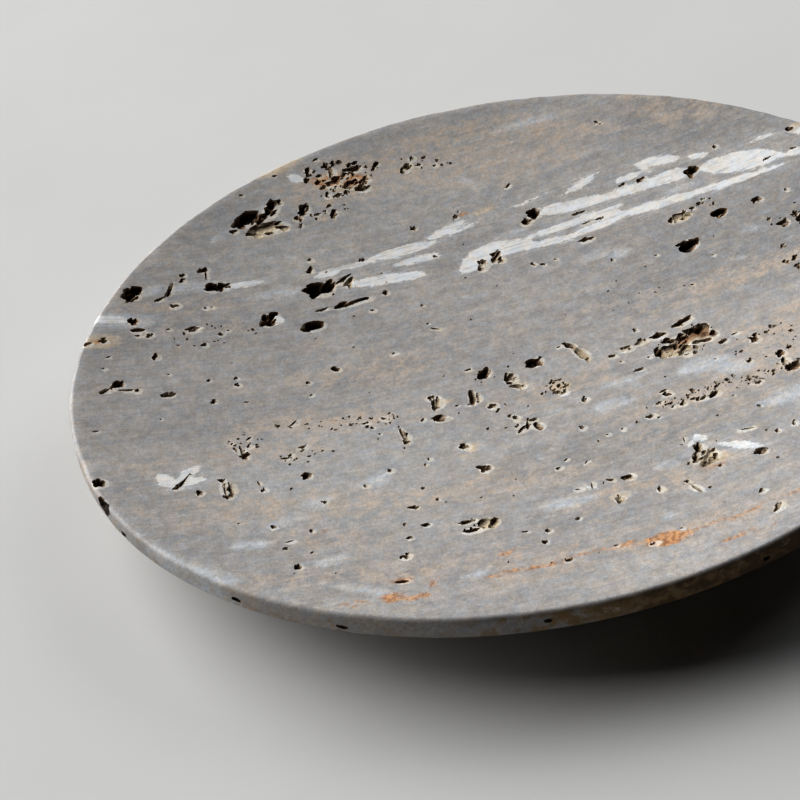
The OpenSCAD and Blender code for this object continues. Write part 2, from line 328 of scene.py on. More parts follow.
# Clusters of crumbs: x, y, length, width, turn
CRUMBS = [
    (29, 28.3, 4.5, 1.8, 30), (19.5, 26.9, 7, 1.6, 0), (43.8, 33.9, 7, 2.4, 15), (-0.5, 6.4, 7, 4, 0),
    (12.6, 6.8, 5, 3, 20), (20, 9, 7, 2.4, 0), (26.2, 3.4, 5, 2, 0), (38.6, 8, 9, 4, 10), (30, 9, 5, 3, 20),
    (-12.6, 12.2, 7, 3.4, -10), (-25.4, -1.6, 9, 6, 0), (-32, -0.6, 9, 4, 0), (38, -29.4, 32, 4.4, 0),
    (6.2, -15.4, 6, 5, 0), (-40, -13.4, 22, 4.6, -6), (-57, -16, 8, 6, 0), (-45, -22, 10, 5, 0),
    (50, -20, 16, 10, 10), (14, -10.5, 8, 2.6, 10), (-44, 3, 5, 6, 0), (2, -46, 12, 5, 10),
    (24, -57, 9, 4, 10), (-20, -43, 12, 4, 0), (48, 10, 10, 3, 10), (-56, 24, 9, 4, 0),
    (-68, 25, 5, 2.4, 0), (60, 8, 20, 5, 10), (64, -36, 20, 8, 8), (33, 70, 9, 4, -20),
]

# Warm, slightly porous layers: x, y, length, width, turn
WARM = [
    (-62, -43.6, 14, 5, 0), (-42, -53.6, 16, 4, -15), (4, 72, 52, 22, -4), (-28, 71, 26, 16, 6),
    (38, -28, 44, 7, 3), (-40, -13, 34, 6, -6), (-45, -42, 50, 9, -8), (-15, -44, 26, 7, 4),
    (-30, -68, 60, 6, -5), (14, -55, 26, 6, 8), (30, -38, 30, 3.5, 10), (16, -73.5, 60, 4.5, 8),
    (5, -15.5, 18, 5, 0), (50, 72, 26, 14, -35), (-28, 3, 22, 6, 4), (60, -12, 40, 9, 8),
    (48, 6, 30, 4, 10), (-66, 33, 22, 2.4, 2), (-60, -22, 30, 4, 6), (70, -30, 30, 8, 12),
]

# Layers that are paler as a whole: x, y, length, width, turn
PALE = [
    (-40, -30, 60, 46, 4), (-14, 66, 90, 28, -4), (-44, 50, 44, 22, 10),
]

# Layers that are darker as a whole: x, y, length, width, turn
DIM = [
    (74, 22, 120, 46, 8), (20, -40, 60, 26, 8), (60, 66, 60, 40, -20), (4, -58, 50, 14, 4),
]

# Shallow voids with a pale crumbling floor: x, y, length, width, turn
SHALLOW_VOIDS = [
    (33.5, -10, 9.5, 4.6, 22), (30.5, -12.4, 6, 3.4, 0), (37.5, -10.6, 4, 2.4, 25),
    (28.6, -50.8, 4.6, 3, 62), (-45.6, 57.8, 9.4, 4.2, 8), (-29.6, 70.8, 3, 2.2, 30),
    (-25.8, 69.4, 3.2, 2.4, -20), (-22.4, 70.2, 2.6, 1.8, 10), (-27, 73, 2.2, 1.4, 60),
    (12.7, -5.6, 4.4, 1.6, -62), (-13.6, -57, 3.2, 2.6, 0), (41.6, 32.4, 4.6, 2.4, 15),
    (-1.2, -12.2, 3, 1.2, -20), (21.4, -7.6, 2.8, 1.2, 10), (-7.3, -17, 1.8, 1.3, 0),
    (7, -17.6, 1.4, 0.8, 20), (-17.4, -12.4, 3.4, 1.4, 85), (-9.4, -13.4, 2.6, 1, 85),
    (-59.4, -32.8, 3.6, 1.2, -80), (24.8, -6.4, 2.6, 1.2, 20), (-30.2, 34.6, 3, 1.6, 40),
    (-12.6, 72.2, 3.4, 1.8, 60), (10.4, -57.6, 2.4, 1.6, 0), (-25, -22.4, 3.4, 1, -80),
    (32, 72.6, 2, 0.8, -40), (-56.4, -21, 3.2, 1, -70), (13.5, -51, 2.2, 1.4, 0), (1.8, 34.4, 3.6, 1.6, 60),
    (-1.6, 32.6, 2.8, 1.8, 70), (12.8, 47.4, 2.4, 1.4, 30),
]


# -------- the stone's shape

def heading(start, end):
    """Direction from one point to another in the section, in radians."""
    return math.atan2(end[1] - start[1], end[0] - start[0])


def meet(p, reach_p, q, reach_q):
    """Point at the given distances from p and q, on the left of the way from p to q."""
    gap = math.dist(p, q)
    along = (reach_p**2 - reach_q**2 + gap**2) / (2 * gap)
    aside = math.sqrt(reach_p**2 - along**2)
    way = ((q[0] - p[0]) / gap, (q[1] - p[1]) / gap)
    return (p[0] + along * way[0] - aside * way[1], p[1] + along * way[1] + aside * way[0])


def arc(centre, radius, start, end, spacing):
    """Points along an arc, from just after its start to its end, about a spacing apart."""
    steps = max(3, round(radius * abs(end - start) / spacing))
    turns = [start + (end - start) * (i + 1) / steps for i in range(steps)]
    return [(centre[0] + radius * math.cos(a), centre[1] + radius * math.sin(a)) for a in turns]


RIM_C = (RIM_R - RIM_ROUND, RIM_Z - RIM_ROUND)
BOWL_R = (RIM_C[0] ** 2 + (BOWL_DEPTH - RIM_ROUND) ** 2 - RIM_ROUND**2) / (2 * BOWL_DEPTH)
BOWL_C = (0.0, RIM_Z - BOWL_DEPTH + BOWL_R)
EDGE_LOW_C = (RIM_R - EDGE_LOW_ROUND, RIM_Z - EDGE_H + EDGE_LOW_ROUND)
BASE_ROUND_C = (BASE_R, BASE_Z + BASE_ROUND)
BELLY_C = meet(BASE_ROUND_C, BELLY_R - BASE_ROUND, EDGE_LOW_C, BELLY_R - EDGE_LOW_ROUND)


def bowl_z(r):
    """Height of the bowl at a distance from the axis."""
    return BOWL_C[1] - np.sqrt(BOWL_R**2 - np.minimum(r, RIM_C[0]) ** 2)


def under_z(r):
    """Height of the underside at a distance from the axis."""
    belly = BELLY_C[1] - np.sqrt(BELLY_R**2 - (np.minimum(r, EDGE_LOW_C[0]) - BELLY_C[0]) ** 2)
    return np.where(r < BASE_R, BASE_Z, np.maximum(BASE_Z, belly))


def section():
    """(radius, height, spacing) of each ring of the skin, from the bowl's centre to the flat's centre."""
    down = -math.pi / 2
    bowl_end = heading(BOWL_C, RIM_C)
    belly_top, belly_low = heading(BELLY_C, EDGE_LOW_C), heading(BELLY_C, BASE_ROUND_C)
    band = np.linspace(RIM_C[1], EDGE_LOW_C[1], 4)[1:]
    flat = np.linspace(BASE_R, 0, round(BASE_R / UNDER_SPACING) + 1)[1:]
    stretches = [
        ([(0, BOWL_C[1] - BOWL_R)] + arc(BOWL_C, BOWL_R, down, bowl_end, TOP_SPACING), TOP_SPACING),
        (arc(RIM_C, RIM_ROUND, heading(RIM_C, BOWL_C), 0, 0.35), EDGE_SPACING),
        ([(RIM_R, z) for z in band], EDGE_SPACING),
        (arc(EDGE_LOW_C, EDGE_LOW_ROUND, 0, belly_top, 0.5), EDGE_SPACING),
        (arc(BELLY_C, BELLY_R, belly_top, belly_low, UNDER_SPACING), UNDER_SPACING),
        (arc(BASE_ROUND_C, BASE_ROUND, belly_low, down, 0.8), UNDER_SPACING),
        ([(r, BASE_Z) for r in flat], UNDER_SPACING),
    ]
    return [(r, z, spacing) for points, spacing in stretches for r, z in points]


def stitch(inner, outer):
    """Triangles between two rings of point numbers, which may differ in count."""
    triangles = []
    a, b = 0, 0
    steps_a = len(inner) if len(inner) > 1 else 0
    steps_b = len(outer) if len(outer) > 1 else 0
    while a < steps_a or b < steps_b:
        here, there = inner[a % len(inner)], outer[b % len(outer)]
        if b >= steps_b or (a < steps_a and (a + 1) * len(outer) <= (b + 1) * len(inner)):
            triangles.append((here, there, inner[(a + 1) % len(inner)]))
            a += 1
        else:
            triangles.append((here, there, outer[(b + 1) % len(outer)]))
            b += 1
    return triangles


def worn(points, rng):
    """The points, with the rim's edges worn in unevenly."""
    x, y, z = points.T
    r = np.hypot(x, y)
    waves = rng.normal(0, 0.35, (12, 3))
    phases = rng.uniform(0, 2 * math.pi, 12)
    wear = np.cos(points @ waves.T + phases).sum(axis=1) / 6
    near_rim = np.clip((r - (RIM_R - 2.2)) / 1.4, 0, 1) * np.clip((z - RIM_Z + 5) / 2, 0, 1)
    inward = WEAR * near_rim * np.clip(wear + 0.2, 0, 1)
    scale = np.where(r > 1, 1 - inward / np.maximum(r, 1), 1)
    return np.column_stack([x * scale, y * scale, z - inward * 0.5])


def skin(rng):
    """The stone's whole skin as points, in millimetres, and triangles."""
    points, triangles, last = [], [], None
    for r, z, spacing in section():
        count = max(6, round(2 * math.pi * r / spacing)) if r > 1e-6 else 1
        ring = list(range(len(points), len(points) + count))
        turns = [2 * math.pi * i / count for i in range(count)]
        points += [(r * math.cos(t), r * math.sin(t), z) for t in turns]
        if last:
            triangles += stitch(last, ring)
        last = ring
    return worn(np.array(points), rng), triangles


# -------- voids

def icosphere(level):
    """Unit icosphere as an array of points and a list of triangles."""
    bm = bmesh.new()
    bmesh.ops.create_icosphere(bm, subdivisions=level, radius=1)
    points = np.array([tuple(v.co) for v in bm.verts])
    triangles = [[v.index for v in f.verts] for f in bm.faces]
    bm.free()
    return points, triangles


SPHERES = {level: icosphere(level) for level in (1, 2, 3)}


def lump(place, axes, half, rng):
    """One lumpy closed blob. axes are its unit axes as rows, half its half sizes along them."""
    biggest = max(half)
    level = 3 if biggest > LARGE_LUMP else 2 if biggest > MIDDLING_LUMP else 1
    directions, triangles = SPHERES[level]
    waves = rng.normal(0, 2.8, (LUMP_WAVES, 3))
    phases = rng.uniform(0, 2 * math.pi, LUMP_WAVES)
    swell = 1 + LUMP_SWELL * np.cos(directions @ waves.T + phases).sum(axis=1)
    return place + (directions * swell[:, None] * np.array(half)) @ np.array(axes), triangles


def flat_axes(turn):
    """Axes that lie level, the first at a turn from +X in degrees."""
    t = math.radians(turn)
    return [(math.cos(t), math.sin(t), 0), (-math.sin(t), math.cos(t), 0), (0, 0, 1)]


def beside(x, y, axes, along, aside):
    """The place at distances along two level axes from x, y."""
    return x + along * axes[0][0] + aside * axes[1][0], y + along * axes[0][1] + aside * axes[1][1]


def stretch_of(width):
    """How much longer from front to back a void in the bowl is than listed."""
    return NARROW_STRETCH if width < NARROW_WIDTH else WIDE_STRETCH


def bowl_void(x, y, length, width, turn, rng, deep=None):
    """Lumps for a void in the bowl: one of the stated size, and smaller ones that fray its outline."""
    surface = bowl_z(math.hypot(x, y))
    # A lump's middle is above the surface, so that the void's walls lean outwards
    half_height = (deep or min(DEPTH_SHARE * width + DEPTH_ADDED, MOST_DEPTH)) / (1 - LUMP_RISE)
    spread = 0.5 / math.sqrt(1 - LUMP_RISE**2)
    axes = flat_axes(turn)
    middle = (x, y, surface + LUMP_RISE * half_height)
    lumps = [lump(middle, axes, (length * spread, width * spread, half_height), rng)]
    # The smallest voids keep a clean outline, and wide ones fray the most
    frays = 0 if width < 0.6 else 3 if width < 2 else 8
    for _ in range(frays):
        t = rng.uniform(0, 2 * math.pi)
        px, py = beside(x, y, axes, 0.42 * length * math.cos(t), 0.42 * width * math.sin(t))
        size = rng.uniform(0.13, 0.30) * width + 0.06
        sunk = rng.uniform(0, 0.8) * min(size, deep or size)
        spot = (px, py, bowl_z(math.hypot(px, py)) - sunk)
        tall = min(size * 1.2, 0.8 * half_height)
        lumps.append(lump(spot, flat_axes(rng.uniform(0, 180)), (size * 1.4, size * 0.9, tall), rng))
    # The void is stretched about its middle, and under the surface it leans
    longer = stretch_of(width)
    leant = []
    for points, triangles in lumps:
        points = points * (1, longer, 1) + (0, y - longer * y, 0)
        below = np.minimum(points[:, 2] - surface, 0)
        leant.append((points + np.outer(below, VOID_LEAN), triangles))
    return leant


def edge_void(direction, depth, length, height, rng):
    """Lumps for a void in the upright band."""
    t = math.radians(direction)
    out = np.array((math.cos(t), math.sin(t), 0))
    along = np.array((-math.sin(t), math.cos(t), 0))
    up = np.array((0, 0, 1))
    place = out * (RIM_R - 0.1) + up * (RIM_Z - depth)
    half = (length / 2, height / 2, min(0.6 * height + 0.2, 1.6))
    lumps = [lump(place, [along, up, out], half, rng)]
    for _ in range(3):
        spot = place + along * rng.uniform(-0.45, 0.45) * length + up * rng.uniform(-0.35, 0.35) * height
        size = rng.uniform(0.25, 0.4) * height
        lumps.append(lump(spot, [along, up, out], (size * 1.4, size, size), rng))
    return lumps


def pore_fields(rng):
    """Places and sizes of the small pores, most of them small, gathered in fields that follow the layers."""
    rows = []
    for x, y, length, width, turn, number, largest in PORE_FIELDS:
        axes = flat_axes(turn)
        for _ in range(number):
            reach, t = math.sqrt(rng.uniform()), rng.uniform(0, 2 * math.pi)
            along, aside = 0.5 * length * reach * math.cos(t), 0.5 * width * reach * math.sin(t)
            px, py = beside(x, y, axes, along, aside)
            size = 0.35 + (largest - 0.35) * rng.uniform() ** 2.2
            if math.hypot(px, py) < RIM_R - 1.5:
                rows.append((px, py, size * rng.uniform(1, 1.8), size, turn + rng.normal(0, 35)))
    return rows


def under_voids(rng):
    """Lumps for voids in the underside, which are scattered evenly."""
    lumps = []
    for _ in range(UNDER_VOIDS):
        r, t = UNDER_REACH * math.sqrt(rng.uniform()), rng.uniform(0, 2 * math.pi)
        size = 0.4 + 1.5 * rng.uniform() ** 3
        place = (r * math.cos(t), r * math.sin(t), float(under_z(r)) + 0.15 * size)
        half = (size * rng.uniform(0.7, 1.5), 0.6 * size, 0.7 * size)
        lumps.append(lump(place, flat_axes(rng.normal(8, 20)), half, rng))
    return lumps


# -------- marks kept on the mesh

def oval_marks(points, rows):
    """How far inside the nearest oval each point is, in millimetres, and negative outside."""
    best = np.full(len(points), -5.0)
    for x, y, length, width, turn in rows:
        (c, s, _), _, _ = flat_axes(turn)
        dx, dy = points[:, 0] - x, points[:, 1] - y
        reach = np.hypot((c * dx + s * dy) / (length / 2), (c * dy - s * dx) / (width / 2))
        best = np.maximum(best, (1 - reach) * min(length, width) / 2)
    return best


def vein_marks(points, rows):
    """How far inside the nearest vein each point is. A vein is widest at its middle and thins to its ends."""
    best = np.full(len(points), -5.0)
    for x0, y0, x1, y1, width in rows:
        way = np.array((x1 - x0, y1 - y0))
        along = ((points[:, 0] - x0) * way[0] + (points[:, 1] - y0) * way[1]) / (way @ way)
        near = np.clip(along, 0, 1)
        gap = np.hypot(points[:, 0] - x0 - near * way[0], points[:, 1] - y0 - near * way[1])
        taper = 1 - np.abs(2 * near - 1) ** 2.5
        best = np.maximum(best, width / 2 * taper - gap)
    return best


def bedding(points):
    """The points in coordinates that follow the stone's layers, which curve gently to the left of +X."""
    x, y, z = points.T
    rise = 0.10 * x + 0.0009 * x**2
    return np.column_stack([x, y - rise - LAYER_LEAN * (RIM_Z - z), z])


def keep(mesh, name, values):
    """Stores a number or a vector for each point of the mesh."""
    vector = values.ndim == 2
    made = mesh.attributes.new(name, "FLOAT_VECTOR" if vector else "FLOAT", "POINT")
    made.data.foreach_set("vector" if vector else "value", values.astype(np.float32).ravel())


def mark(mesh, halo_and_highlight_rows):
    """Stores the bedding coordinates and the distances that the stone's material reads."""
    points = np.empty(len(mesh.vertices) * 3)
    mesh.vertices.foreach_get("co", points)
    points = points.reshape(-1, 3) / MM
    x, y, z = points.T
    r = np.hypot(x, y)
    depth = np.clip(bowl_z(r) - z, 0, None)
    leaning = points.copy()
    leaning[:, 1] += MARK_LEAN * depth
    keep(mesh, "bed", bedding(points))
    for name, rows in {"vein": VEINS, "blue": BLUE_PATCHES}.items():
        keep(mesh, name, vein_marks(leaning, rows))
    ovals = {"cream": CREAM, "rust": RUST, "warm": WARM, "crumb": CRUMBS, "pale": PALE, "dim": DIM}
    for name, rows in ovals.items():
        keep(mesh, name, oval_marks(leaning, rows))
    # Pale halos round the voids, shifted so that they also paint a highlight on each void's lit side
    keep(mesh, "halo_and_highlight", oval_marks(points, halo_and_highlight_rows))
    keep(mesh, "depth", depth)
    # The band's patina is heaviest at the right, the side away from the window, which paints shade there, and
    # fades out over the belly
    away = np.arctan2(y, x) - math.radians(PATINA_AND_SHADE_HEADING)
    outward = np.clip((r - PATINA_AND_SHADE_START_R) / (PATINA_AND_SHADE_FULL_R - PATINA_AND_SHADE_START_R), 0, 1)
    keep(mesh, "patina_and_shade", outward * np.clip(1.6 * np.cos(away) - 0.1, 0, 1))


# -------- materials

class Shader:
    """A material's node tree, with a short call for each kind of node that the materials use."""

    def __init__(self, name):
        self.material = bpy.data.materials.new(name)
        self.material.use_nodes = True
        self.tree = self.material.node_tree
        self.tree.nodes.clear()

    def add(self, kind, inputs=None, **settings):
        node = self.tree.nodes.new(kind)
        for name, value in settings.items():
            setattr(node, name, value)
        for name, value in (inputs or {}).items():
            if isinstance(value, bpy.types.NodeSocket):
                self.tree.links.new(value, node.inputs[name])
            else:
                node.inputs[name].default_value = value
        return node

    def kept(self, name):
        """The value stored on the mesh under a name."""
        node = self.add("ShaderNodeAttribute", attribute_name=name)
        return node.outputs["Vector"] if name == "bed" else node.outputs["Fac"]

    def stretch(self, vector, sizes, shift=(0, 0, 0)):
        """Coordinates divided by sizes, so that a pattern has about one feature in each size."""
        scale = tuple(1 / size for size in sizes)
        node = self.add("ShaderNodeMapping", {"Vector": vector, "Scale": scale, "Location": shift})
        return node.outputs["Vector"]

    def noise(self, vector, detail=3.0, rough=0.55, distortion=0.0):
        inputs = {"Scale": 1.0, "Detail": detail, "Roughness": rough, "Distortion": distortion}
        return self.add("ShaderNodeTexNoise", {"Vector": vector, **inputs}).outputs["Fac"]

    def cells(self, vector):
        """Distance to the nearest of scattered points, as a share of their spacing."""
        return self.add("ShaderNodeTexVoronoi", {"Vector": vector, "Scale": 1.0}).outputs["Distance"]

    def math(self, operation, a, b, clamp=False):
        node = self.add("ShaderNodeMath", operation=operation, use_clamp=clamp)
        for socket, value in zip(node.inputs, (a, b)):
            if isinstance(value, bpy.types.NodeSocket):
                self.tree.links.new(value, socket)
            else:
                socket.default_value = value
        return node.outputs[0]

    def times(self, a, b):
        return self.math("MULTIPLY", a, b)

    def plus(self, a, b, clamp=False):
        return self.math("ADD", a, b, clamp)

    def ramp(self, value, low, high, out_low=0.0, out_high=1.0):
        """The value taken smoothly from out_low at low to out_high at high."""
        inputs = {"Value": value, "From Min": low, "From Max": high, "To Min": out_low, "To Max": out_high}
        return self.add("ShaderNodeMapRange", inputs, interpolation_type="SMOOTHSTEP").outputs["Result"]

    def mix(self, share, a, b, blend="MIX"):
        node = self.add("ShaderNodeMix", data_type="RGBA", blend_type=blend, clamp_factor=True)
        for index, value in ((0, share), (6, a), (7, b)):
            if isinstance(value, bpy.types.NodeSocket):
                self.tree.links.new(value, node.inputs[index])
            else:
                node.inputs[index].default_value = (*value, 1) if isinstance(value, tuple) else value
        return node.outputs[2]

    def ragged(self, name, fray, strength, soft):
        """1 inside a kept mark and 0 outside, with its edge frayed by a noise."""
        pushed = self.times(self.math("SUBTRACT", fray, 0.5), strength)
        return self.ramp(self.plus(self.kept(name), pushed), -soft, soft)

    def bump(self, height, distance, strength):
        inputs = {"Height": height, "Distance": distance * MM, "Strength": strength}
        return self.add("ShaderNodeBump", inputs).outputs["Normal"]

    def finish(self, **inputs):
        named = {name.replace("_", " "): value for name, value in inputs.items()}
        named = {name: (*v, 1) if isinstance(v, tuple) else v for name, v in named.items()}
        shader = self.add("ShaderNodeBsdfPrincipled", named)
        output = self.add("ShaderNodeOutputMaterial")
        self.tree.links.new(shader.outputs[0], output.inputs["Surface"])
        return self.material


# Colours of the honed skin
GREY = (0.378, 0.366, 0.362)
LIGHT_GREY = (0.457, 0.436, 0.420)
COOL_GREY = (0.344, 0.338, 0.343)
PALE_GREY = (0.515, 0.508, 0.502)
DIM_GREY = (0.300, 0.296, 0.296)
VEIL_GREY = (0.550, 0.550, 0.550)
BEIGE = (0.530, 0.432, 0.345)
STRAY_BEIGE = (0.530, 0.435, 0.350)
BLUISH = (0.565, 0.582, 0.605)
CHALK = (0.520, 0.530, 0.545)
CREAM_CRUST = (0.630, 0.530, 0.405)
DARK_RUST = (0.340, 0.140, 0.045)
LIGHT_RUST = (0.640, 0.350, 0.150)
HALO_AND_HIGHLIGHT = (0.700, 0.670, 0.610)
CALCITE = (0.800, 0.798, 0.792)
COOL_CALCITE = (0.590, 0.597, 0.604)
BRIGHT_CALCITE = (0.820, 0.816, 0.808)
TAN_PATINA_AND_SHADE = (0.290, 0.195, 0.095)
BROWN_PATINA_AND_SHADE = (0.110, 0.066, 0.033)
COOL_TINT = (0.966, 1.000, 1.040)
WARM_TINT = (1.034, 0.998, 0.948)
CRUMB = (0.600, 0.505, 0.415)
PIT_DEPOSIT_AND_SHADE = (0.170, 0.100, 0.060)


def honed_travertine():
    """The skin: grey layers, warm and bluish bands, white veins, cream and rust stains, and fine grain."""
    s = Shader("honed_travertine")
    bed = s.kept("bed")
    drift = s.noise(s.stretch(bed, (45, 14, 30)), 4, 0.6, 0.6)
    layers = s.noise(s.stretch(bed, (34, 2.4, 12), (3, 0, 0)), 4, 0.62)
    laminae = s.noise(s.stretch(bed, (9, 0.6, 4), (0, 5, 0)), 3, 0.6)
    mottle = s.noise(s.stretch(bed, (3.0, 3.0, 2.8), (7, 0, 2)), 5, 0.62, 0.3)
    speckle = s.noise(s.stretch(bed, (0.80, 1.15, 0.9), (3, 8, 5)), 3, 0.7)
    grain = s.noise(s.stretch(bed, (0.34, 0.50, 0.4)), 2, 0.7)
    fray = s.noise(s.stretch(bed, (1.5, 1.3, 1.4), (0, 2, 9)), 5, 0.7)
    streak = s.noise(s.stretch(bed, (7, 0.6, 2), (1, 1, 1)), 4, 0.68)

    grey = s.mix(s.ramp(drift, 0.34, 0.66), GREY, LIGHT_GREY)
    grey = s.mix(s.ramp(layers, 0.35, 0.65, 0.0, 0.45), grey, COOL_GREY)
    grey = s.mix(s.ramp(s.kept("pale"), -9.0, 14.0, 0.0, 0.5), grey, PALE_GREY)
    grey = s.mix(s.ramp(s.kept("dim"), -6.0, 16.0, 0.0, 0.65), grey, DIM_GREY)
    patchy = s.ramp(s.noise(s.stretch(bed, (1.4, 1.4, 1.3), (2, 6, 4)), 4, 0.7), 0.42, 0.62)
    warm = s.times(s.ragged("warm", mottle, 9.0, 2.6), s.ramp(mottle, 0.38, 0.60, 0.2, 1.0))
    warm = s.times(warm, s.ramp(patchy, 0.0, 1.0, 0.6, 1.0))
    colour = s.mix(s.times(warm, 0.62), grey, BEIGE)
    stray = s.ramp(s.noise(s.stretch(bed, (11, 2.8, 8), (9, 9, 1)), 5, 0.7), 0.5, 0.7)
    stray = s.times(stray, patchy)
    colour = s.mix(s.times(stray, 0.42), colour, STRAY_BEIGE)
    blue = s.times(s.ragged("blue", fray, 3.5, 1.1), 0.7)
    colour = s.mix(blue, colour, BLUISH)
    chalk = s.ramp(s.noise(s.stretch(bed, (2.6, 1.5, 2.0), (5, 3, 8)), 5, 0.72), 0.56, 0.70, 0.0, 0.5)
    colour = s.mix(chalk, colour, CHALK)
    cream = s.times(s.ragged("cream", fray, 2.6, 0.6), 0.75)
    colour = s.mix(cream, colour, CREAM_CRUST)
    rust = s.times(s.ragged("rust", fray, 3.6, 0.6), 0.8)
    ochre = s.mix(s.ramp(speckle, 0.36, 0.6), DARK_RUST, LIGHT_RUST)
    colour = s.mix(rust, colour, ochre)
    # Pale halos: partly calcite, partly a painted highlight on each void's lit side
    halo_and_highlight = s.times(s.ragged("halo_and_highlight", fray, 1.2, 0.2), 0.75)
    colour = s.mix(halo_and_highlight, colour, HALO_AND_HIGHLIGHT)
    frayed = s.plus(s.times(streak, 0.5), s.times(fray, 0.5))
    veil = s.plus(s.kept("vein"), s.ramp(streak, 0.3, 0.7, -2.4, 2.4))
    colour = s.mix(s.ramp(veil, -1.6, 0.6, 0.0, 0.4), colour, VEIL_GREY)
    vein = s.ragged("vein", frayed, 4.2, 0.22)
    calcite = s.mix(s.ramp(streak, 0.46, 0.66), CALCITE, COOL_CALCITE)
    calcite = s.mix(s.ramp(mottle, 0.42, 0.60, 0.0, 0.7), calcite, BRIGHT_CALCITE)
    colour = s.mix(s.times(vein, 0.95), colour, calcite)

    band = s.ramp(s.kept("depth"), 0.05, 0.7)
    # Tan, then dark brown on the band: patina, and painted shade on the side away from the window
    grime_and_shade = s.plus(s.kept("patina_and_shade"), s.ramp(mottle, 0.35, 0.62, -0.25, 0.25), clamp=True)
    tan = s.times(band, s.ramp(grime_and_shade, 0.0, 0.6))
    colour = s.mix(tan, colour, TAN_PATINA_AND_SHADE)
    dark = s.times(band, s.ramp(grime_and_shade, 0.55, 1.0))
    colour = s.mix(dark, colour, BROWN_PATINA_AND_SHADE)

    # Light and shade of the laminae and grain
    tone = s.ramp(laminae, 0.3, 0.7, 0.95, 1.05)
    tone = s.times(tone, s.ramp(mottle, 0.32, 0.68, 0.90, 1.10))
    tone = s.times(tone, s.ramp(speckle, 0.3, 0.7, 0.91, 1.09))
    tone = s.times(tone, s.ramp(grain, 0.25, 0.75, 0.89, 1.11))
    # The band and the underside are made darker, which paints shade on the upright band
    tone = s.times(tone, s.ramp(band, 0.0, 1.0, 1.0, 0.85))
    # The veins are more even than the rest
    evened = s.times(s.math("SUBTRACT", 1.0, tone), vein)
    tone = s.plus(tone, s.times(evened, 0.6))
    lit = s.add("ShaderNodeCombineColor", {"Red": tone, "Green": tone, "Blue": tone}).outputs[0]
    colour = s.mix(1.0, colour, lit, "MULTIPLY")
    tint = s.ramp(s.noise(s.stretch(bed, (2.4, 2.2, 2.2), (4, 4, 2)), 3, 0.6), 0.36, 0.64)
    colour = s.mix(1.0, colour, s.mix(tint, COOL_TINT, WARM_TINT), "MULTIPLY")
    # Crumbs: clusters of cream grains with brown pits between them, their dark colour partly deposit and
    # partly painted shade in the tiny holes
    strewn = s.ramp(s.noise(s.stretch(bed, (3.6, 2.2, 3.0), (6, 2, 4)), 4, 0.66, 0.5), 0.60, 0.68)
    cluster = s.math("MAXIMUM", s.ragged("crumb", mottle, 7.0, 1.0), strewn)
    grains = s.noise(s.stretch(bed, (0.62, 0.5, 0.55), (1, 7, 3)), 3, 0.72, 0.5)
    crumb = s.times(cluster, s.ramp(grains, 0.45, 0.57, 0.0, 0.6))
    colour = s.mix(crumb, colour, CRUMB)
    specks = s.cells(s.stretch(bed, (1.2, 0.8, 0.9), (8, 1, 6)))
    specks = s.plus(specks, s.times(grains, 0.7))
    pit_and_shade = s.times(cluster, s.ramp(specks, 0.36, 0.50, 1.0, 0.0))
    colour = s.mix(s.times(pit_and_shade, 0.8), colour, PIT_DEPOSIT_AND_SHADE)

    rough = s.ramp(s.plus(grain, s.times(vein, -0.3)), 0.1, 0.8, 0.46, 0.68)
    sunk = s.math("SUBTRACT", grain, s.times(pit_and_shade, 3.0))
    normal = s.bump(s.plus(sunk, s.times(laminae, 0.3)), 0.07, 0.6)
    return s.finish(Base_Color=colour, Roughness=rough, Specular_IOR_Level=0.25, Normal=normal)


def broken_travertine():
    """Inside a void: cream crystals near its mouth, brown deposit and painted shade deeper down, painted
    near-black shade at the bottom, rough all over.
    """
    s = Shader("broken_travertine")
    bed = s.kept("bed")
    crystals = s.noise(s.stretch(bed, (0.5, 0.45, 0.45)), 4, 0.65)
    stain = s.noise(s.stretch(bed, (6, 5, 5), (3, 1, 8)), 4, 0.6)
    cream = s.mix(s.ramp(crystals, 0.35, 0.65), (0.370, 0.295, 0.210), (0.600, 0.545, 0.455))
    brown_deposit_and_shade = s.mix(s.ramp(crystals, 0.35, 0.65), (0.150, 0.082, 0.038), (0.360, 0.235, 0.130))
    deep = s.mix(s.ramp(crystals, 0.35, 0.65), (0.020, 0.012, 0.007), (0.090, 0.055, 0.030))
    # Darker with depth: brown deposit, and painted shade in the hollow, nearly black at the bottom
    sink = s.plus(s.kept("depth"), s.ramp(stain, 0.3, 0.7, -0.35, 0.35))
    colour = s.mix(s.ramp(sink, 0.15, 0.75), cream, brown_deposit_and_shade)
    colour = s.mix(s.ramp(sink, 0.75, 1.5), colour, deep)
    thinning = s.ramp(s.kept("depth"), 0.7, 1.8, 0.9, 0.2)
    crust = s.times(s.ragged("cream", crystals, 1.5, 1.0), thinning)
    colour = s.mix(crust, colour, (0.560, 0.480, 0.350))
    rust = s.times(s.ragged("rust", crystals, 1.2, 0.8), 0.7)
    colour = s.mix(rust, colour, (0.360, 0.160, 0.055))
    normal = s.bump(crystals, 0.35, 1.0)
    return s.finish(Base_Color=colour, Roughness=s.ramp(crystals, 0.3, 0.7, 0.65, 0.9), Normal=normal)


